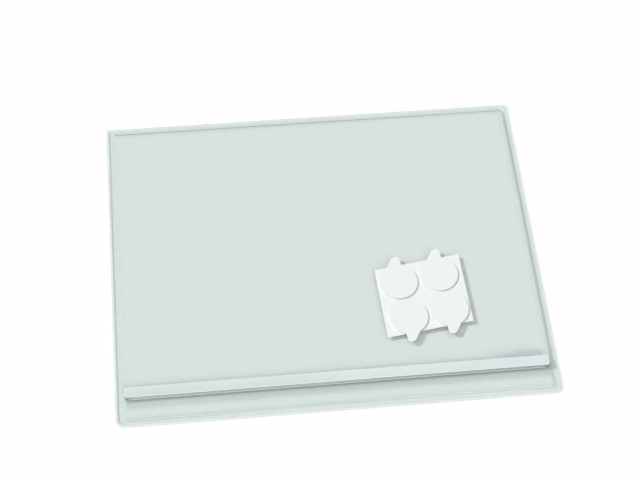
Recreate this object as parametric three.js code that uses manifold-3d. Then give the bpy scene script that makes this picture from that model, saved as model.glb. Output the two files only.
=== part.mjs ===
import * as THREE from "three";
import { mergeVertices } from "three/addons/utils/BufferGeometryUtils.js";
import Module from "manifold-3d";

// A clear film document pocket that lies on its back, with a card of adhesive pads on its front.
// Sizes are in millimetres. X runs along the pocket, Y from its open side to its far side, Z up.
// The origin is under the middle of the pocket.

// The pocket's outline and its welded margin
const pocketWidth = 334;
const pocketDepth = 264;
const nearCornerRadius = 6;
const farCornerRadius = 3;
const cutMargin = 1.6;
const weldMargin = 5.5;
const shoulderWidth = 1.2;
const faceCornerRadius = 2;

// Film thicknesses, and the room between the films
const backFilm = 0.4;
const frontFilm = 0.4;
const lipFilm = 0.4;
const lipRoom = 0.6;
const mouthRoom = 1;

// The mouth, where the front sheet laps over the lip
const mouthSetback = 20.4;
const lipReach = 8;
const weldButtGap = 0.3;
const lipSideClearance = 0.3;

// The stiffening strip along the front sheet's free edge
const stripSetback = 1.4;
const stripWidth = 8.3;
const stripThickness = 2;
const stripEndSetback = 0.6;
const stripCornerRadius = 2;
const stripEdgeRound = 0.5;

// The card of pads: its size, its lean and its place on the front sheet
const cardWidth = 68;
const cardDepth = 59;
const cardLean = 4.6;
const cardThickness = 0.5;
const cardTurn = THREE.MathUtils.degToRad(7.5);
const cardFromRight = 94.5;
const cardFromNear = 89;

// The four pads in two rows, each with a paper cover that ends in a pull tab
const padDiameter = 30;
const padPitchAlong = 32.5;
const padPitchAcross = 30.8;
const padThickness = 0.8;
const coverThickness = 0.25;
const tabReach = 6.6;
const tabRootWidth = 12;
const tabTipWidth = 6.5;
const tabTipShift = 2.4;
const tabTipRadius = 1.6;

// How finely the round corners and discs are drawn
const cornerSegments = 6;
const shoulderSegments = 3;
const discSegments = 48;

// Heights that follow from the sizes above
const lipTop = backFilm + lipRoom + lipFilm;
const frontTop = lipTop + mouthRoom + frontFilm;
const mouthY = mouthSetback - pocketDepth / 2;

const wasm = await Module();
wasm.setup();

function toSolid(geometry) {
  const bare = geometry.clone();
  bare.deleteAttribute("normal");
  bare.deleteAttribute("uv");
  const merged = mergeVertices(bare);
  const mesh = new wasm.Mesh({
    numProp: 3,
    vertProperties: new Float32Array(merged.attributes.position.array),
    triVerts: new Uint32Array(merged.index.array),
  });
  return new wasm.Manifold(mesh);
}

function toGeometry(solid) {
  const mesh = solid.getMesh();
  const geometry = new THREE.BufferGeometry();
  geometry.setAttribute("position", new THREE.BufferAttribute(mesh.vertProperties, 3));
  geometry.setIndex(new THREE.BufferAttribute(mesh.triVerts, 1));
  const faceted = geometry.toNonIndexed();
  faceted.computeVertexNormals();
  return faceted;
}

// The pocket's outline, drawn in from its cut edge by an inset
function pocketOutline(inset, nearRadius, farRadius) {
  const right = pocketWidth / 2 - inset;
  const far = pocketDepth / 2 - inset;
  const outline = new THREE.Shape();
  outline.moveTo(-right + nearRadius, -far);
  outline.lineTo(right - nearRadius, -far);
  outline.absarc(right - nearRadius, -far + nearRadius, nearRadius, -Math.PI / 2, 0);
  outline.lineTo(right, far - farRadius);
  outline.absarc(right - farRadius, far - farRadius, farRadius, 0, Math.PI / 2);
  outline.lineTo(-right + farRadius, far);
  outline.absarc(-right + farRadius, far - farRadius, farRadius, Math.PI / 2, Math.PI);
  outline.lineTo(-right, -far + nearRadius);
  outline.absarc(-right + nearRadius, -far + nearRadius, nearRadius, Math.PI, 1.5 * Math.PI);
  return outline;
}

function plate(outline, bottom, thickness, segments = cornerSegments) {
  const settings = { depth: thickness, bevelEnabled: false, curveSegments: segments };
  return new THREE.ExtrudeGeometry(outline, settings).translate(0, 0, bottom);
}

// A low block whose upper edge is rounded over the shoulder. It reaches well below its base.
function pillow(inset, base, top) {
  const rise = top - base;
  const outline = pocketOutline(inset, faceCornerRadius, faceCornerRadius);
  const settings = {
    depth: top,
    bevelEnabled: true,
    bevelThickness: rise,
    bevelSize: shoulderWidth,
    bevelOffset: -shoulderWidth,
    bevelSegments: shoulderSegments,
    curveSegments: cornerSegments,
  };
  return new THREE.ExtrudeGeometry(outline, settings).translate(0, 0, base - top);
}

// A box between two distances across the pocket, two along it and two heights
function block(left, right, near, far, bottom, top) {
  const geometry = new THREE.BoxGeometry(right - left, far - near, top - bottom);
  return geometry.translate((left + right) / 2, (near + far) / 2, (bottom + top) / 2);
}

// One film over the whole pocket: a flat margin on the back sheet, and a face raised inside it
function raisedFilm(film, top) {
  const margin = toSolid(
    plate(pocketOutline(cutMargin, nearCornerRadius - cutMargin, farCornerRadius - cutMargin), backFilm, film),
  );
  const face = toSolid(pillow(weldMargin, backFilm + film, top));
  const hollow = toSolid(pillow(weldMargin + film, backFilm, top - film));
  const above = toSolid(block(-pocketWidth, pocketWidth, -pocketDepth, pocketDepth, backFilm, 2 * top));
  return margin.add(face.intersect(above)).subtract(hollow);
}

function backSheetGeometry() {
  return plate(pocketOutline(0, nearCornerRadius, farCornerRadius), 0, backFilm);
}

function frontSheetGeometry() {
  const kept = toSolid(block(-pocketWidth, pocketWidth, mouthY, pocketDepth, 0, 2 * frontTop));
  return toGeometry(raisedFilm(frontFilm, frontTop).intersect(kept));
}

// The lip is welded at the near edge and both ends as far as the mouth. Above that it is a free
// tongue, narrow enough to lie inside the front sheet.
function lipGeometry() {
  const lipFar = mouthY + lipReach;
  const kept = toSolid(block(-pocketWidth, pocketWidth, -pocketDepth, lipFar, 0, 2 * lipTop));
  const tongueSide = pocketWidth / 2 - weldMargin - shoulderWidth - frontFilm - lipSideClearance;
  const weldEnd = mouthY - weldButtGap;
  const leftOfTongue = toSolid(block(-pocketWidth, -tongueSide, weldEnd, pocketDepth, -1, 2 * lipTop));
  const rightOfTongue = toSolid(block(tongueSide, pocketWidth, weldEnd, pocketDepth, -1, 2 * lipTop));
  return toGeometry(raisedFilm(lipFilm, lipTop).intersect(kept).subtract(leftOfTongue).subtract(rightOfTongue));
}

function roundedRectangle(width, depth, radius) {
  const right = width / 2;
  const far = depth / 2;
  const outline = new THREE.Shape();
  outline.moveTo(-right + radius, -far);
  outline.lineTo(right - radius, -far);
  outline.absarc(right - radius, -far + radius, radius, -Math.PI / 2, 0);
  outline.lineTo(right, far - radius);
  outline.absarc(right - radius, far - radius, radius, 0, Math.PI / 2);
  outline.lineTo(-right + radius, far);
  outline.absarc(-right + radius, far - radius, radius, Math.PI / 2, Math.PI);
  outline.lineTo(-right, -far + radius);
  outline.absarc(-right + radius, -far + radius, radius, Math.PI, 1.5 * Math.PI);
  return outline;
}

function stripGeometry() {
  const length = pocketWidth - 2 * (weldMargin + shoulderWidth + stripEndSetback);
  const settings = {
    depth: stripThickness - 2 * stripEdgeRound,
    bevelEnabled: true,
    bevelThickness: stripEdgeRound,
    bevelSize: stripEdgeRound,
    bevelOffset: -stripEdgeRound,
    bevelSegments: shoulderSegments,
    curveSegments: cornerSegments,
  };
  const outline = roundedRectangle(length, stripWidth, stripCornerRadius);
  const centreY = mouthY + stripSetback + stripWidth / 2;
  return new THREE.ExtrudeGeometry(outline, settings).translate(0, centreY, stripEdgeRound);
}

// The card was cut by hand from a longer length, so its ends lean
function cardGeometry() {
  const right = cardWidth / 2;
  const far = cardDepth / 2;
  const lean = cardLean / 2;
  const outline = new THREE.Shape([
    new THREE.Vector2(-right - lean, -far),
    new THREE.Vector2(right - lean, -far),
    new THREE.Vector2(right + lean, far),
    new THREE.Vector2(-right + lean, far),
  ]);
  return plate(outline, 0, cardThickness);
}

function padGeometry() {
  const outline = new THREE.Shape().absarc(0, 0, padDiameter / 2, 0, 2 * Math.PI);
  return plate(outline, 0, padThickness, discSegments / 2);
}

// A disc of paper whose tab leaves it towards +Y, narrows and leans a little to the right
function coverGeometry() {
  const radius = padDiameter / 2;
  const rootAngle = Math.asin(tabRootWidth / 2 / radius);
  const tip = radius + tabReach;
  const tipLeft = tabTipShift - tabTipWidth / 2;
  const tipRight = tabTipShift + tabTipWidth / 2;
  const outline = new THREE.Shape();
  outline.absarc(0, 0, radius, Math.PI / 2 + rootAngle, 2.5 * Math.PI - rootAngle);
  outline.lineTo(tipRight, tip - tabTipRadius);
  outline.quadraticCurveTo(tipRight, tip, tipRight - tabTipRadius, tip);
  outline.lineTo(tipLeft + tabTipRadius, tip);
  outline.quadraticCurveTo(tipLeft, tip, tipLeft - tabTipRadius / 2, tip - tabTipRadius);
  return plate(outline, 0, coverThickness, discSegments / 2);
}

const clearFilm = new THREE.MeshStandardMaterial({
  color: 0xd8e4e2,
  roughness: 0.15,
  metalness: 0,
  transparent: true,
  opacity: 0.35,
});
const stripFilm = new THREE.MeshStandardMaterial({
  color: 0xdfebe9,
  roughness: 0.2,
  metalness: 0,
  transparent: true,
  opacity: 0.5,
});
const coatedCard = new THREE.MeshStandardMaterial({ color: 0xf0f5f5, roughness: 0.55, metalness: 0 });
const whiteFoam = new THREE.MeshStandardMaterial({ color: 0xe2e6e4, roughness: 0.85, metalness: 0 });
const coverPaper = new THREE.MeshStandardMaterial({ color: 0xecf0ee, roughness: 0.6, metalness: 0 });

function namedMesh(name, geometry, material) {
  const mesh = new THREE.Mesh(geometry, material);
  mesh.name = name;
  return mesh;
}

// A pad and its cover. The far row's tabs point away from the mouth and the near row's towards it.
function buildPad(column, row) {
  const number = 2 * row + column + 1;
  const pad = new THREE.Group();
  pad.position.set((column - 0.5) * padPitchAlong, (0.5 - row) * padPitchAcross, cardThickness);
  pad.rotation.z = row * Math.PI;
  const cover = namedMesh(`pad_cover_${number}`, coverGeometry(), coverPaper);
  cover.position.z = padThickness;
  pad.add(namedMesh(`adhesive_pad_${number}`, padGeometry(), whiteFoam), cover);
  return pad;
}

function buildPadCard() {
  const card = new THREE.Group();
  card.position.set(pocketWidth / 2 - cardFromRight, cardFromNear - pocketDepth / 2, frontTop);
  card.rotation.z = cardTurn;
  card.add(namedMesh("pad_card", cardGeometry(), coatedCard));
  for (let row = 0; row < 2; row += 1) {
    for (let column = 0; column < 2; column += 1) {
      card.add(buildPad(column, row));
    }
  }
  return card;
}

function buildPocket() {
  const strip = namedMesh("opening_strip", stripGeometry(), stripFilm);
  strip.position.z = frontTop;
  const pocket = new THREE.Group();
  pocket.add(
    namedMesh("back_sheet", backSheetGeometry(), clearFilm),
    namedMesh("front_sheet", frontSheetGeometry(), clearFilm),
    namedMesh("lower_lip", lipGeometry(), clearFilm),
    strip,
    buildPadCard(),
  );
  return pocket;
}

export default buildPocket();
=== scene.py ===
import math

import bmesh
import bpy
from mathutils import Matrix, Vector


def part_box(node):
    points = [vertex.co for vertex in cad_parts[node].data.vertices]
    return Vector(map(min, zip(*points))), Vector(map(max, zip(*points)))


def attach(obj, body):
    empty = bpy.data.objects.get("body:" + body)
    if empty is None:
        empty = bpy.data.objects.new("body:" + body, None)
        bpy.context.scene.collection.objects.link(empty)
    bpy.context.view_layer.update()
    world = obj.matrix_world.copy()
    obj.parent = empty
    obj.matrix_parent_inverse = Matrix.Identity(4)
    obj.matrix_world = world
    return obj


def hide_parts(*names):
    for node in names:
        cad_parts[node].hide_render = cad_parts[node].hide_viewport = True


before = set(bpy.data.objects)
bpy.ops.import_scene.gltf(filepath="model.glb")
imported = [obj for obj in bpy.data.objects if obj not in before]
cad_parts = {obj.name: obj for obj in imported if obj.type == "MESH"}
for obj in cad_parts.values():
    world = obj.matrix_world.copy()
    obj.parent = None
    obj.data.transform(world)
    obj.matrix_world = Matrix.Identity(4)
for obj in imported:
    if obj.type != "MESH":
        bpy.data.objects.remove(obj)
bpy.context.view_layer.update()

# The camera looks down at the open side of the pocket, from a little to its left and slightly
# rolled. Its distance and its lens come from the perspective of the pocket's outline.
view_azimuth = math.radians(-8.65)
view_elevation = math.radians(59.75)
view_roll = math.radians(3.40)
view_distance = 1.1469
view_target = Vector((-0.0022, 0.0145, 0))

towards_camera = Vector((
    math.sin(view_azimuth) * math.cos(view_elevation),
    -math.cos(view_azimuth) * math.cos(view_elevation),
    math.sin(view_elevation),
))
level_right = (-towards_camera).cross(Vector((0, 0, 1))).normalized()
level_up = towards_camera.cross(level_right)
camera_right = math.cos(view_roll) * level_right + math.sin(view_roll) * level_up
camera_up = math.cos(view_roll) * level_up - math.sin(view_roll) * level_right

camera_data = bpy.data.cameras.new("pocket_camera")
camera_data.lens = 81.6
camera_data.sensor_width = 36
camera = bpy.data.objects.new("pocket_camera", camera_data)
bpy.context.scene.collection.objects.link(camera)
camera.matrix_world = Matrix.Translation(view_target + view_distance * towards_camera) @ Matrix((
    camera_right,
    camera_up,
    towards_camera,
)).transposed().to_4x4()
bpy.context.scene.camera = camera
bpy.context.scene.view_settings.view_transform = "Standard"


# The floor is a plain white table top under the pocket. It keeps a part of its light for the
# camera alone, so that it reads as white while the pocket still shades it.
class Value:
    """One socket of a material's node tree. Arithmetic on it adds Math nodes."""

    def __init__(self, tree, socket):
        self.tree = tree
        self.socket = socket

    def combine(self, operation, first, second):
        maths = self.tree.nodes.new("ShaderNodeMath")
        maths.operation = operation
        for entry, given in zip(maths.inputs, (first, second)):
            if isinstance(given, Value):
                self.tree.links.new(given.socket, entry)
            else:
                entry.default_value = given
        return Value(self.tree, maths.outputs[0])

    def __add__(self, other):
        return self.combine("ADD", self, other)

    def __radd__(self, other):
        return self.combine("ADD", other, self)

    def __sub__(self, other):
        return self.combine("SUBTRACT", self, other)

    def __rsub__(self, other):
        return self.combine("SUBTRACT", other, self)

    def __mul__(self, other):
        return self.combine("MULTIPLY", self, other)

    def __rmul__(self, other):
        return self.combine("MULTIPLY", other, self)

    def size(self):
        return self.combine("ABSOLUTE", self, 0.0)

    def at_most(self, limit):
        return self.combine("MINIMUM", self, limit)


class Finish:
    """The nodes of a material or of the world, and the one way that they are added."""

    def __init__(self, owner):
        self.owner = owner
        owner.use_nodes = True
        self.tree = owner.node_tree
        self.tree.nodes.clear()

    def node(self, kind, settings=None, sockets=None, output=0):
        made = self.tree.nodes.new(kind)
        for name, setting in (settings or {}).items():
            if name == "stops":
                self.set_stops(made.color_ramp, setting)
            else:
                setattr(made, name, setting)
        for name, given in (sockets or {}).items():
            entry = next(s for s in made.inputs if name in (s.identifier, s.name))
            if isinstance(given, Value):
                self.tree.links.new(given.socket, entry)
            else:
                entry.default_value = given
        found = made.outputs[output] if isinstance(output, int) else next(
            s for s in made.outputs if output in (s.identifier, s.name)
        )
        return Value(self.tree, found)

    def set_stops(self, ramp, stops):
        while len(ramp.elements) < len(stops):
            ramp.elements.new(1)
        for element, (place, colour) in zip(ramp.elements, stops):
            element.position = place
            element.color = colour

    def mix_colour(self, share, first, second):
        sockets = {"Factor_Float": share, "A_Color": first, "B_Color": second}
        return self.node("ShaderNodeMix", {"data_type": "RGBA"}, sockets, "Result_Color")

    def show(self, surface, output_kind="ShaderNodeOutputMaterial"):
        output = self.tree.nodes.new(output_kind)
        self.tree.links.new(surface.socket, output.inputs["Surface"])
        return self.owner


def seen_directly(finish):
    """One for camera, mirrored and refracted rays, nought for the rays that light things."""
    camera_ray = finish.node("ShaderNodeLightPath", output="Is Camera Ray")
    mirror_ray = finish.node("ShaderNodeLightPath", output="Is Glossy Ray")
    refracted_ray = finish.node("ShaderNodeLightPath", output="Is Transmission Ray")
    return (camera_ray + mirror_ray + refracted_ray).at_most(1.0)


def finished_object(name, bm):
    """Turns a bmesh into an object at the origin and frees the bmesh."""
    mesh = bpy.data.meshes.new(name)
    bm.to_mesh(mesh)
    bm.free()
    made = bpy.data.objects.new(name, mesh)
    bpy.context.scene.collection.objects.link(made)
    return made


floor_half_width = 3.0
floor_drop = 0.0001
floor_white = 0.8
floor_own_light = 0.19

floor_mesh = bmesh.new()
bmesh.ops.create_grid(floor_mesh, x_segments=4, y_segments=4, size=floor_half_width)
bmesh.ops.translate(floor_mesh, verts=floor_mesh.verts, vec=(0, 0, -floor_drop))
floor = finished_object("table_top", floor_mesh)
floor_finish = Finish(bpy.data.materials.new("white_table"))
floor_matt = floor_finish.node("ShaderNodeBsdfDiffuse", sockets={"Color": (floor_white,) * 3 + (1,)})
floor_glow = floor_finish.node("ShaderNodeEmission", sockets={
    "Color": (1, 1, 1, 1),
    "Strength": seen_directly(floor_finish) * floor_own_light,
})
floor.data.materials.append(floor_finish.show(
    floor_finish.node("ShaderNodeAddShader", sockets={"Shader": floor_matt, "Shader_001": floor_glow})
))

# The light is a studio's: a low lamp on the left that draws the short shadows to the right, a
# weak one in front on the right, and a pale room all round. Together they light a level surface
# so that its colour shows about as it is.
key_azimuth, key_elevation = math.radians(158), math.radians(38)
key_share, key_spread = 0.50, math.radians(10)
front_azimuth, front_elevation = math.radians(-65), math.radians(35)
front_share, front_spread = 0.15, math.radians(30)
room_light = 0.355


def add_lamp(name, azimuth, elevation, share, spread):
    """A far lamp. Its share is what it adds to the brightness of a level white surface."""
    lamp_data = bpy.data.lights.new(name, "SUN")
    lamp_data.angle = spread
    lamp_data.energy = share * math.pi / math.sin(elevation)
    lamp = bpy.data.objects.new(name, lamp_data)
    bpy.context.scene.collection.objects.link(lamp)
    place = Vector((
        math.cos(azimuth) * math.cos(elevation),
        math.sin(azimuth) * math.cos(elevation),
        math.sin(elevation),
    ))
    lamp.location = place
    lamp.rotation_euler = (-place).to_track_quat("-Z", "Y").to_euler()


add_lamp("key_lamp", key_azimuth, key_elevation, key_share, key_spread)
add_lamp("front_lamp", front_azimuth, front_elevation, front_share, front_spread)

room = bpy.data.worlds.new("pale_room")
room_finish = Finish(room)
room_background = room_finish.node("ShaderNodeBackground", sockets={
    "Color": (1, 1, 1, 1),
    "Strength": room_light + seen_directly(room_finish) * (1 - room_light),
})
bpy.context.scene.world = room_finish.show(room_background, "ShaderNodeOutputWorld")

# The back sheet is the whole back of the pocket: one sheet of clear soft film with round corners,
# die-cut, to whose front the other films are welded round the margin.
mm = 0.001
pocket_low = Vector(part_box("back_sheet")[0])
pocket_high = Vector(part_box("back_sheet")[1])
near_corner_radius = 6 * mm
far_corner_radius = 3 * mm
face_corner_radius = 2 * mm
cut_margin = 1.6 * mm
weld_margin = 5.5 * mm
shoulder_width = 1.2 * mm
film_thickness = 0.4 * mm
outline_points = 28
film_tint = (0.964, 0.979, 0.977, 1)
film_haze = 0.02
film_haze_colour = (0.78, 0.86, 0.85, 1)
# The dark colour for folds and painted shade, the pale colour for painted highlights, and how strongly
# the attribute thickens the veil.
fold_and_shade_colour = (0.29, 0.40, 0.39, 1)
shine_colour = (0.90, 1, 0.99, 1)
shade_and_shine_density = 0.55
cut_edge_tint = (0.88, 0.93, 0.925, 1)
cut_edge_haze = 0.30
cut_edge_haze_colour = (0.60, 0.72, 0.71, 1)
edge_round = 0.08 * mm
across, along = Vector((1, 0, 0)), Vector((0, 1, 0))


def lay_film(rings):
    """A film surface from rings of the outline, outermost first: inset, height, corners, side shades.

    The side shades say how dark the film is drawn there on the left, right, near and far sides:
    partly the denser look of film along a fold or cut edge, partly painted shade. A value below
    nought is a painted highlight.
    """
    bm = bmesh.new()
    heading = bm.verts.layers.float_vector.new("heading")
    shade_and_shine = bm.verts.layers.float.new("fold_line")
    half_step = math.pi / outline_points
    bmesh.ops.create_circle(bm, segments=outline_points, radius=1 / math.cos(half_step))
    bmesh.ops.rotate(bm, verts=bm.verts, matrix=Matrix.Rotation(half_step, 3, "Z"))
    for vert in bm.verts:
        vert[heading] = vert.co
    ring, edges = bm.verts[:], bm.edges[:]
    for place, (inset, height, near_radius, far_radius, side_shades) in enumerate(rings):
        if place > 0:
            made = bmesh.ops.extrude_edge_only(bm, edges=edges)["geom"]
            ring = {part for part in made if isinstance(part, bmesh.types.BMVert)}
            edges = [
                part for part in made
                if isinstance(part, bmesh.types.BMEdge) and ring.issuperset(part.verts)
            ]
        for vert in ring:
            towards = vert[heading]
            radius = near_radius if towards.y < 0 else far_radius
            vert.co = (
                math.copysign(pocket_high.x - inset - radius, towards.x) + towards.x * radius,
                math.copysign(pocket_high.y - inset - radius, towards.y) + towards.y * radius,
                height,
            )
            facing = (-towards.x, towards.x, -towards.y, towards.y)
            vert[shade_and_shine] = sum(depth * max(share, 0) ** 2 for depth, share in zip(side_shades, facing))
    inner_face = bmesh.ops.edgeloop_fill(bm, edges=edges)["faces"][0]
    bm.verts.layers.float_vector.remove(heading)
    bmesh.ops.recalc_face_normals(bm, faces=bm.faces)
    inner_face.normal_update()
    if inner_face.normal.z < 0:
        bmesh.ops.reverse_faces(bm, faces=bm.faces)
    return bm


def cut_at(bm, axis, places, drop_beyond=False):
    """Cuts the whole surface square to an axis at each place, and drops what lies beyond if told."""
    for place in places:
        bmesh.ops.bisect_plane(
            bm, geom=bm.verts[:] + bm.edges[:] + bm.faces[:], plane_co=axis * place,
            plane_no=axis, clear_outer=drop_beyond,
        )


def even_steps(low, high, count):
    return [low + (high - low) * step / count for step in range(1, count)]


def smooth_step(value, low, high):
    share = min(max((value - low) / (high - low), 0), 1)
    return share * share * (3 - 2 * share)


def thicken(piece):
    """Gives a film its thickness, downwards, and takes the sharpness off its cut edges."""
    solid = piece.modifiers.new("thickness", "SOLIDIFY")
    solid.thickness = film_thickness
    solid.offset = -1
    solid.material_offset_rim = 1
    soft = piece.modifiers.new("cut_edges", "BEVEL")
    soft.width = edge_round
    soft.segments = 2
    soft.limit_method = "ANGLE"
    soft.angle_limit = math.radians(60)


def film_finish(name, tint, haze, haze_colour, shade_and_shine_share):
    """Clear soft film: a faint tint, a little haze, a mirror gloss, denser along its folds, and with
    painted shade and painted highlights from its attribute.
    """
    finish = Finish(bpy.data.materials.new(name))
    place = finish.node("ShaderNodeTexCoord", output="Object")
    shade_and_shine = finish.node("ShaderNodeAttribute", {"attribute_name": "fold_line"}, output="Fac")
    cloud = finish.node("ShaderNodeTexNoise", sockets={"Vector": place, "Scale": 7.0, "Detail": 2.0})
    waves = finish.node("ShaderNodeTexNoise", sockets={"Vector": place, "Scale": 22.0, "Detail": 1.5})
    grain = finish.node("ShaderNodeTexNoise", sockets={"Vector": place, "Scale": 900.0, "Detail": 2.0})
    slope = finish.node("ShaderNodeBump", sockets={
        "Strength": 0.08, "Distance": 0.0012, "Height": waves + grain * 0.004,
    })
    clear = finish.node("ShaderNodeBsdfTransparent", sockets={"Color": tint})
    # The attribute draws the veil towards the dark colour for folds and painted shade, and towards the
    # pale colour for painted highlights where it is below nought.
    veil_colour = finish.mix_colour(shade_and_shine, haze_colour, fold_and_shade_colour)
    veil_colour = finish.mix_colour(0.0 - shade_and_shine, veil_colour, shine_colour)
    veil = finish.node("ShaderNodeBsdfPrincipled", sockets={
        "Base Color": veil_colour, "Roughness": 0.35 + grain * 0.1, "IOR": 1.5, "Normal": slope,
    })
    density = (haze * (0.7 + cloud * 0.6) + shade_and_shine.size() * shade_and_shine_share).at_most(1.0)
    body = finish.node("ShaderNodeMixShader", sockets={
        "Fac": density, "Shader": clear, "Shader_001": veil,
    })
    gloss = finish.node("ShaderNodeBsdfAnisotropic", {"distribution": "GGX"}, {
        "Color": (1, 1, 1, 1), "Roughness": 0.09, "Normal": slope,
    })
    turned_away = finish.node(
        "ShaderNodeLayerWeight", sockets={"Blend": 0.5, "Normal": slope}, output="Facing",
    )
    mirrored = 0.035 + 0.965 * turned_away.combine("POWER", turned_away, 5.0)
    return finish.show(finish.node("ShaderNodeMixShader", sockets={
        "Fac": mirrored, "Shader": body, "Shader_001": gloss,
    }))


film_material = film_finish("clear_film", film_tint, film_haze, film_haze_colour, shade_and_shine_density)
cut_edge_material = film_finish(
    "cut_film_edge", cut_edge_tint, cut_edge_haze, cut_edge_haze_colour, shade_and_shine_density,
)
back_top = film_thickness
no_side_shade = (0, 0, 0, 0)
# The back sheet's cut edge is drawn darker, differently on each side: partly the film's edge, partly
# painted shade.
rim_line = (0.20, 0.30, 0.40, 0.50)
back_mesh = lay_film([
    (0, back_top, near_corner_radius, far_corner_radius, rim_line),
    (0.5 * mm, back_top, near_corner_radius - 0.5 * mm, far_corner_radius - 0.5 * mm, no_side_shade),
    (weld_margin, back_top, near_corner_radius - weld_margin + 1 * mm, 1 * mm, no_side_shade),
])
back = finished_object("clear_back_sheet", back_mesh)
back.data.materials.append(film_material)
back.data.materials.append(cut_edge_material)
thicken(back)
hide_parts("back_sheet")
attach(back, "root")

# The front sheet is the clear film over the documents. Its margin is welded to the back along the
# far side and both ends, and its face stands off the back. Its near edge is free: the mouth. Its
# attribute also carries painted shade behind the opening strip, a painted shadow line beside the
# strip's left end, and a painted highlight along the mouth's edge.
front_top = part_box("front_sheet")[1][2]
mouth_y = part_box("front_sheet")[0][1]
strip_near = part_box("opening_strip")[0][1]
strip_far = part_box("opening_strip")[1][1]
weld_top = back_top + film_thickness
face_start = weld_margin + shoulder_width
face_half_length = 158.5 * mm
near_enough = 0.1 * mm
# How dark the film is drawn along its cut edge, weld, shoulder and face on the left, right, near and
# far sides: partly the denser look of film at a fold, partly painted shade that differs by side.
cut_line = (0.85, 0.30, 0.08, 0.14)
weld_line = (0.08, 0.36, 0.30, 0.38)
shoulder_line = (0.04, 0.34, 0.08, 0.06)
face_line = (0.02, 0.12, 0.22, 0.02)
# A painted highlight along the mouth's edge.
mouth_shine = -0.75
# A painted shadow line beside the strip's left end.
strip_end_shadow_line = 0.6
end_shadow_start, end_shadow_stop = 0.2 * mm, 1.5 * mm
# Painted shade behind the strip, reaching further at the right.
shade_behind_strip = 0.42
shade_gap, shade_lead = 1.1 * mm, 1 * mm
shade_reach, wider_shade_reach = 1.5 * mm, 3.5 * mm
shade_widens_from, shade_widens_to = 118 * mm, 132 * mm


def raised_film(top):
    """A film with a flat welded margin and a face that stands up inside it."""
    corner = near_corner_radius - cut_margin
    far_corner = far_corner_radius - cut_margin
    rings = [
        (cut_margin + step * mm, weld_top, corner - step * mm, far_corner - step * mm, side_shades)
        for step, side_shades in ((0, cut_line), (0.4, cut_line), (0.9, no_side_shade))
    ]
    for step, side_shades in ((-1.3, no_side_shade), (-0.7, no_side_shade), (0, weld_line)):
        inset = weld_margin + step * mm
        rings.append((inset, weld_top, face_corner_radius, face_corner_radius, side_shades))
    steps = 4
    for step in range(1, steps + 1):
        turn = math.radians(90) * step / steps
        rings.append((
            weld_margin + shoulder_width * (1 - math.cos(turn)),
            weld_top + (top - weld_top) * math.sin(turn),
            face_corner_radius, face_corner_radius,
            weld_line if step < 2 else shoulder_line,
        ))
    for step, side_shades in ((0.9, face_line), (1.8, no_side_shade)):
        rings.append((face_start + step * mm, top, face_corner_radius, face_corner_radius, side_shades))
    return lay_film(rings)


front_mesh = raised_film(front_top)
cut_at(front_mesh, across, even_steps(pocket_low.x, pocket_high.x, 24))
cut_at(front_mesh, along, even_steps(mouth_y, pocket_high.y, 18))
shade_start = strip_far + shade_gap
cut_at(front_mesh, along, [shade_start + step * mm for step in (-0.8, 0, 1.5, 3.2, 5, 9)])
cut_at(front_mesh, along, [strip_near, strip_near + 0.8 * mm])
front_shade_and_shine = front_mesh.verts.layers.float["fold_line"]
face_left = pocket_low.x + face_start
for vert in front_mesh.verts:
    if vert.co.z < front_top - near_enough:
        continue
    # Painted highlight on the film between the mouth and the strip.
    if vert.co.y < strip_near + near_enough and abs(vert.co.x) < face_half_length:
        vert[front_shade_and_shine] = mouth_shine
    # Painted shadow line beside the strip's left end.
    beside_strip = face_left + end_shadow_start < vert.co.x < face_left + end_shadow_stop
    if beside_strip and vert.co.y < shade_start:
        vert[front_shade_and_shine] = strip_end_shadow_line
    # Painted shade behind the strip.
    behind = vert.co.y - shade_start
    widening = smooth_step(vert.co.x, shade_widens_from, shade_widens_to)
    reach = shade_reach + wider_shade_reach * widening
    if behind > -shade_lead and abs(vert.co.x) < face_half_length:
        shade = shade_behind_strip * (1 - smooth_step(behind, 0.6 * reach, 2 * reach))
        vert[front_shade_and_shine] = max(vert[front_shade_and_shine], shade)
cut_at(front_mesh, -along, [-mouth_y], drop_beyond=True)
front = finished_object("clear_front_sheet", front_mesh)
front.data.materials.append(film_material)
front.data.materials.append(cut_edge_material)
thicken(front)
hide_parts("front_sheet")
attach(front, "root")

# The lower lip is a narrow band of the same film along the near side. It is welded there and at
# both ends up to the mouth, and its free edge goes on as a tongue under the front sheet. Its
# attribute carries a painted highlight along its weld near both ends, and painted shade along the
# mouth.
weld_butt_gap = 0.3 * mm
lip_side_clearance = 0.3 * mm
lip_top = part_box("lower_lip")[1][2]
lip_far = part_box("lower_lip")[1][1]
weld_end = mouth_y - weld_butt_gap
tongue_side = pocket_high.x - weld_margin - shoulder_width - film_thickness - lip_side_clearance
# A painted highlight along the near weld, at its left and right ends.
lip_shine = -0.9
lip_shine_y = pocket_low.y + weld_margin - 0.7 * mm
left_shine_fades_from, left_shine_fades_to = -110 * mm, -50 * mm
right_shine_grows_from, right_shine_grows_to = 138 * mm, 150 * mm
# Painted shade along the mouth, deeper towards the right and at the mouth.
left_mouth_shade = 0.29
more_shade_at_right, more_shade_at_mouth = 0.07, 0.12
shade_grows_from, shade_grows_to = -165 * mm, -40 * mm

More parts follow.
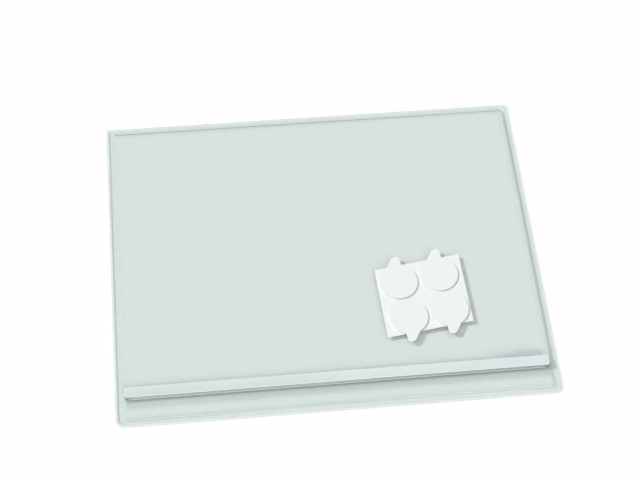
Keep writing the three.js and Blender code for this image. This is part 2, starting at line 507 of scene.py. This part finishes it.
lip_mesh = raised_film(lip_top)
cut_at(lip_mesh, along, [weld_end])
cut_at(lip_mesh, across, [tongue_side, -tongue_side])
cut_at(lip_mesh, across, even_steps(pocket_low.x, pocket_high.x, 24))
cut_at(lip_mesh, along, [mouth_y + step * mm for step in (-7, -5.5, -4, -2.5, -1, 0, 1, 3)])
cut_at(lip_mesh, along, [lip_far], drop_beyond=True)
lip_shade_and_shine = lip_mesh.verts.layers.float["fold_line"]
for vert in lip_mesh.verts:
    # Painted highlight along the near weld.
    if abs(vert.co.y - lip_shine_y) < near_enough:
        at_left = 1 - smooth_step(vert.co.x, left_shine_fades_from, left_shine_fades_to)
        at_right = smooth_step(vert.co.x, right_shine_grows_from, right_shine_grows_to)
        vert[lip_shade_and_shine] = lip_shine * (at_left + at_right)
    # Painted shade along the mouth.
    if abs(vert.co.x) < tongue_side + near_enough and vert.co.z > lip_top - near_enough:
        from_left = smooth_step(vert.co.x, shade_grows_from, shade_grows_to)
        at_mouth = smooth_step(vert.co.y, mouth_y - 4 * mm, mouth_y)
        shade = left_mouth_shade + from_left * (more_shade_at_right + more_shade_at_mouth * at_mouth)
        shade *= smooth_step(vert.co.y, mouth_y - 7 * mm, mouth_y - 4.5 * mm)
        shade *= 1 - smooth_step(vert.co.y, mouth_y, mouth_y + 1 * mm)
        vert[lip_shade_and_shine] = max(vert[lip_shade_and_shine], shade)
beside_tongue = [
    face for face in lip_mesh.faces
    if face.calc_center_median().y > weld_end and abs(face.calc_center_median().x) > tongue_side
]
bmesh.ops.delete(lip_mesh, geom=beside_tongue, context="FACES")
lip = finished_object("clear_lower_lip", lip_mesh)
lip.data.materials.append(film_material)
lip.data.materials.append(cut_edge_material)
thicken(lip)
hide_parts("lower_lip")
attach(lip, "root")

# The opening strip is a thicker bar of film with round ends, welded on the front sheet along the
# mouth, which stiffens the edge that the documents slide past. The welded face isn't built. Its
# attribute draws it darker towards its right end, and paints highlights on its near edge and side.
strip_low = Vector(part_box("opening_strip")[0])
strip_high = Vector(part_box("opening_strip")[1])
strip_corner_radius = 2 * mm
strip_edge_round = 0.45 * mm
strip_tint = (0.985, 0.993, 0.992, 1)
strip_haze = 0.66
strip_haze_colour = (0.90, 0.995, 0.985, 1)
strip_shade_and_shine_density = 0.9
# The strip is drawn darker towards its right end.
right_end_darkening = 0.28
darkening_grows_from, darkening_grows_to = -60 * mm, 150 * mm
# Painted highlights on the strip's near edge and near side.
near_edge_depth, near_edge_height = 0.3 * mm, 0.5 * mm
near_edge_shine, near_side_shine = -0.55, -0.85

strip_mesh = bmesh.new()
strip_shade_and_shine = strip_mesh.verts.layers.float.new("fold_line")
strip_corners = [strip_mesh.verts.new(place) for place in (
    (strip_low.x, strip_low.y, strip_low.z), (strip_high.x, strip_low.y, strip_low.z),
    (strip_high.x, strip_high.y, strip_low.z), (strip_low.x, strip_high.y, strip_low.z),
)]
strip_mesh.faces.new(strip_corners)
bmesh.ops.bevel(
    strip_mesh, geom=strip_corners, offset=strip_corner_radius, offset_type="OFFSET",
    affect="VERTICES", segments=6, profile=0.5, material=-1,
)
strip_rise = bmesh.ops.extrude_face_region(strip_mesh, geom=strip_mesh.faces[:])
bmesh.ops.translate(
    strip_mesh, verts=[v for v in strip_rise["geom"] if isinstance(v, bmesh.types.BMVert)],
    vec=(0, 0, strip_high.z - strip_low.z),
)
bmesh.ops.recalc_face_normals(strip_mesh, faces=strip_mesh.faces)
strip_rim = [
    e for e in strip_mesh.edges
    if all(v.co.z > strip_high.z - 0.01 * mm for v in e.verts)
]
bmesh.ops.bevel(
    strip_mesh, geom=strip_rim, offset=strip_edge_round, offset_type="OFFSET", affect="EDGES",
    segments=3, profile=0.5, material=-1,
)
cut_at(strip_mesh, across, even_steps(strip_low.x, strip_high.x, 16))
for vert in strip_mesh.verts:
    # Darker towards the right end.
    vert[strip_shade_and_shine] = right_end_darkening * smooth_step(vert.co.x, darkening_grows_from, darkening_grows_to)
    # Painted highlights on the near edge and the near side.
    if vert.co.y < strip_low.y + near_edge_depth:
        on_edge = vert.co.z > strip_high.z - near_edge_height
        vert[strip_shade_and_shine] = near_edge_shine if on_edge else near_side_shine
welded_underside = [
    face for face in strip_mesh.faces if face.calc_center_median().z < strip_low.z + 0.01 * mm
]
bmesh.ops.delete(strip_mesh, geom=welded_underside, context="FACES_ONLY")
strip_material = film_finish(
    "strip_film", strip_tint, strip_haze, strip_haze_colour, strip_shade_and_shine_density,
)
for face in strip_mesh.faces:
    face.normal_update()
    face.material_index = int(abs(face.normal.z) < 0.2)
strip = finished_object("clear_opening_strip", strip_mesh)
strip.data.materials.append(strip_material)
strip.data.materials.append(film_material)
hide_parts("opening_strip")
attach(strip, "root")

# The card is a piece of white coated board that carries the pads. It was cut by hand from a
# longer length, so its ends lean a little, and it lies loose on the front sheet.
card_low = Vector(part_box("pad_card")[0])
card_high = Vector(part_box("pad_card")[1])
card_middle = (card_low + card_high) / 2
card_turn = math.radians(7.5)
card_width = 68 * mm
card_depth = 59 * mm
card_lean = 4.6 * mm
card_edge_round = 0.06 * mm
card_white = (0.865, 0.908, 0.906, 1)
card_shade = (0.84, 0.885, 0.883, 1)
on_card = Matrix.Translation((card_middle.x, card_middle.y, 0)) @ Matrix.Rotation(card_turn, 4, "Z")


def paper_finish(name, colour, shade, roughness):
    """White paper or board: fine fibres in the colour and a faint uneven surface."""
    finish = Finish(bpy.data.materials.new(name))
    place = finish.node("ShaderNodeTexCoord", output="Object")
    fibre = finish.node("ShaderNodeTexNoise", sockets={
        "Vector": place, "Scale": 1400.0, "Detail": 4.0, "Roughness": 0.6,
    })
    cloud = finish.node("ShaderNodeTexNoise", sockets={"Vector": place, "Scale": 60.0, "Detail": 2.0})
    tone = finish.mix_colour((fibre * 0.5 + cloud * 0.5), colour, shade)
    surface = finish.node("ShaderNodeBump", sockets={
        "Strength": 0.2, "Distance": 0.00008, "Height": fibre + cloud,
    })
    return finish.show(finish.node("ShaderNodeBsdfPrincipled", sockets={
        "Base Color": tone, "Roughness": roughness + fibre * 0.12, "IOR": 1.45, "Normal": surface,
    }))


card_mesh = bmesh.new()
card_corners = [card_mesh.verts.new(place) for place in (
    (-card_width / 2 - card_lean / 2, -card_depth / 2, card_low.z),
    (card_width / 2 - card_lean / 2, -card_depth / 2, card_low.z),
    (card_width / 2 + card_lean / 2, card_depth / 2, card_low.z),
    (-card_width / 2 + card_lean / 2, card_depth / 2, card_low.z),
)]
card_base = card_mesh.faces.new(card_corners)
card_rise = bmesh.ops.extrude_face_region(card_mesh, geom=[card_base])
bmesh.ops.translate(
    card_mesh, verts=[v for v in card_rise["geom"] if isinstance(v, bmesh.types.BMVert)],
    vec=(0, 0, card_high.z - card_low.z),
)
bmesh.ops.recalc_face_normals(card_mesh, faces=card_mesh.faces)
bmesh.ops.bevel(
    card_mesh, geom=card_mesh.edges[:], offset=card_edge_round, offset_type="OFFSET",
    affect="EDGES", segments=2, profile=0.5, material=-1,
)
bmesh.ops.transform(card_mesh, matrix=on_card, verts=card_mesh.verts)
card = finished_object("coated_pad_card", card_mesh)
card.data.materials.append(paper_finish("coated_card", card_white, card_shade, 0.45))
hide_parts("pad_card")
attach(card, "root")

# Each pad is a disc of double-sided adhesive foam, die-cut and stuck on the card.
disc_segments = 64
pad_radius = 15 * mm
pad_pitch_along = 32.5 * mm
pad_pitch_across = 30.8 * mm


def pad_place(number):
    """Where a pad lies on the card: pads 1 and 2 in the far row, 3 and 4 in the near row."""
    row, column = divmod(number - 1, 2)
    middle = Vector(((column - 0.5) * pad_pitch_along, (0.5 - row) * pad_pitch_across, 0))
    return on_card @ Matrix.Translation(middle) @ Matrix.Rotation(row * math.pi, 4, "Z")


def foam_finish():
    """White closed-cell foam: matt, with fine cells."""
    finish = Finish(bpy.data.materials.new("white_foam"))
    place = finish.node("ShaderNodeTexCoord", output="Object")
    cells = finish.node("ShaderNodeTexVoronoi", sockets={"Vector": place, "Scale": 2600.0})
    tone = finish.mix_colour(cells, (0.62, 0.66, 0.65, 1), (0.74, 0.78, 0.77, 1))
    surface = finish.node("ShaderNodeBump", sockets={
        "Strength": 0.5, "Distance": 0.0001, "Height": cells,
    })
    return finish.show(finish.node("ShaderNodeBsdfPrincipled", sockets={
        "Base Color": tone, "Roughness": 0.85, "IOR": 1.4, "Normal": surface,
    }))


foam_material = foam_finish()
for number in range(1, 5):
    low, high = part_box(f"adhesive_pad_{number}")
    pad_mesh = bmesh.new()
    bmesh.ops.create_circle(
        pad_mesh, cap_ends=True, radius=pad_radius, segments=disc_segments,
    )
    pad_rise = bmesh.ops.extrude_face_region(pad_mesh, geom=pad_mesh.faces[:])
    bmesh.ops.translate(
        pad_mesh, verts=[v for v in pad_rise["geom"] if isinstance(v, bmesh.types.BMVert)],
        vec=(0, 0, high[2] - low[2]),
    )
    bmesh.ops.recalc_face_normals(pad_mesh, faces=pad_mesh.faces)
    bmesh.ops.translate(pad_mesh, verts=pad_mesh.verts, vec=(0, 0, low[2]))
    bmesh.ops.transform(pad_mesh, matrix=pad_place(number), verts=pad_mesh.verts)
    pad = finished_object(f"foam_pad_{number}", pad_mesh)
    pad.data.materials.append(foam_material)
    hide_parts(f"adhesive_pad_{number}")
    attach(pad, "root")

# Each pad's cover is a disc of white release paper whose pull tab reaches past the card's edge.
tab_reach = 6.6 * mm
tab_root_width = 12 * mm
tab_tip_width = 6.5 * mm
tab_tip_shift = 2.4 * mm
tab_tip_crown = 0.22
cover_white = (0.865, 0.90, 0.89, 1)
cover_shade = (0.83, 0.868, 0.858, 1)

cover_material = paper_finish("cover_paper", cover_white, cover_shade, 0.5)
root_angle = math.asin(tab_root_width / 2 / pad_radius)
for number in range(1, 5):
    low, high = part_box(f"pad_cover_{number}")
    cover_mesh = bmesh.new()
    bmesh.ops.create_circle(
        cover_mesh, cap_ends=True, radius=pad_radius, segments=disc_segments,
    )
    root_edges = [
        e for e in cover_mesh.edges
        if all(abs(math.atan2(v.co.x, v.co.y)) < root_angle for v in e.verts)
    ]
    tab_part = bmesh.ops.extrude_edge_only(cover_mesh, edges=root_edges)
    tab_verts = [v for v in tab_part["geom"] if isinstance(v, bmesh.types.BMVert)]
    for vert in tab_verts:
        aside = vert.co.x / (tab_root_width / 2)
        vert.co.x = tab_tip_shift + aside * tab_tip_width / 2
        vert.co.y = pad_radius + tab_reach * (1 - tab_tip_crown * aside ** 4)
    bmesh.ops.recalc_face_normals(cover_mesh, faces=cover_mesh.faces)
    cover_rise = bmesh.ops.extrude_face_region(cover_mesh, geom=cover_mesh.faces[:])
    bmesh.ops.translate(
        cover_mesh, verts=[v for v in cover_rise["geom"] if isinstance(v, bmesh.types.BMVert)],
        vec=(0, 0, high[2] - low[2]),
    )
    bmesh.ops.recalc_face_normals(cover_mesh, faces=cover_mesh.faces)
    bmesh.ops.translate(cover_mesh, verts=cover_mesh.verts, vec=(0, 0, low[2]))
    bmesh.ops.transform(cover_mesh, matrix=pad_place(number), verts=cover_mesh.verts)
    cover = finished_object(f"paper_cover_{number}", cover_mesh)
    cover.data.materials.append(cover_material)
    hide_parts(f"pad_cover_{number}")
    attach(cover, "root")
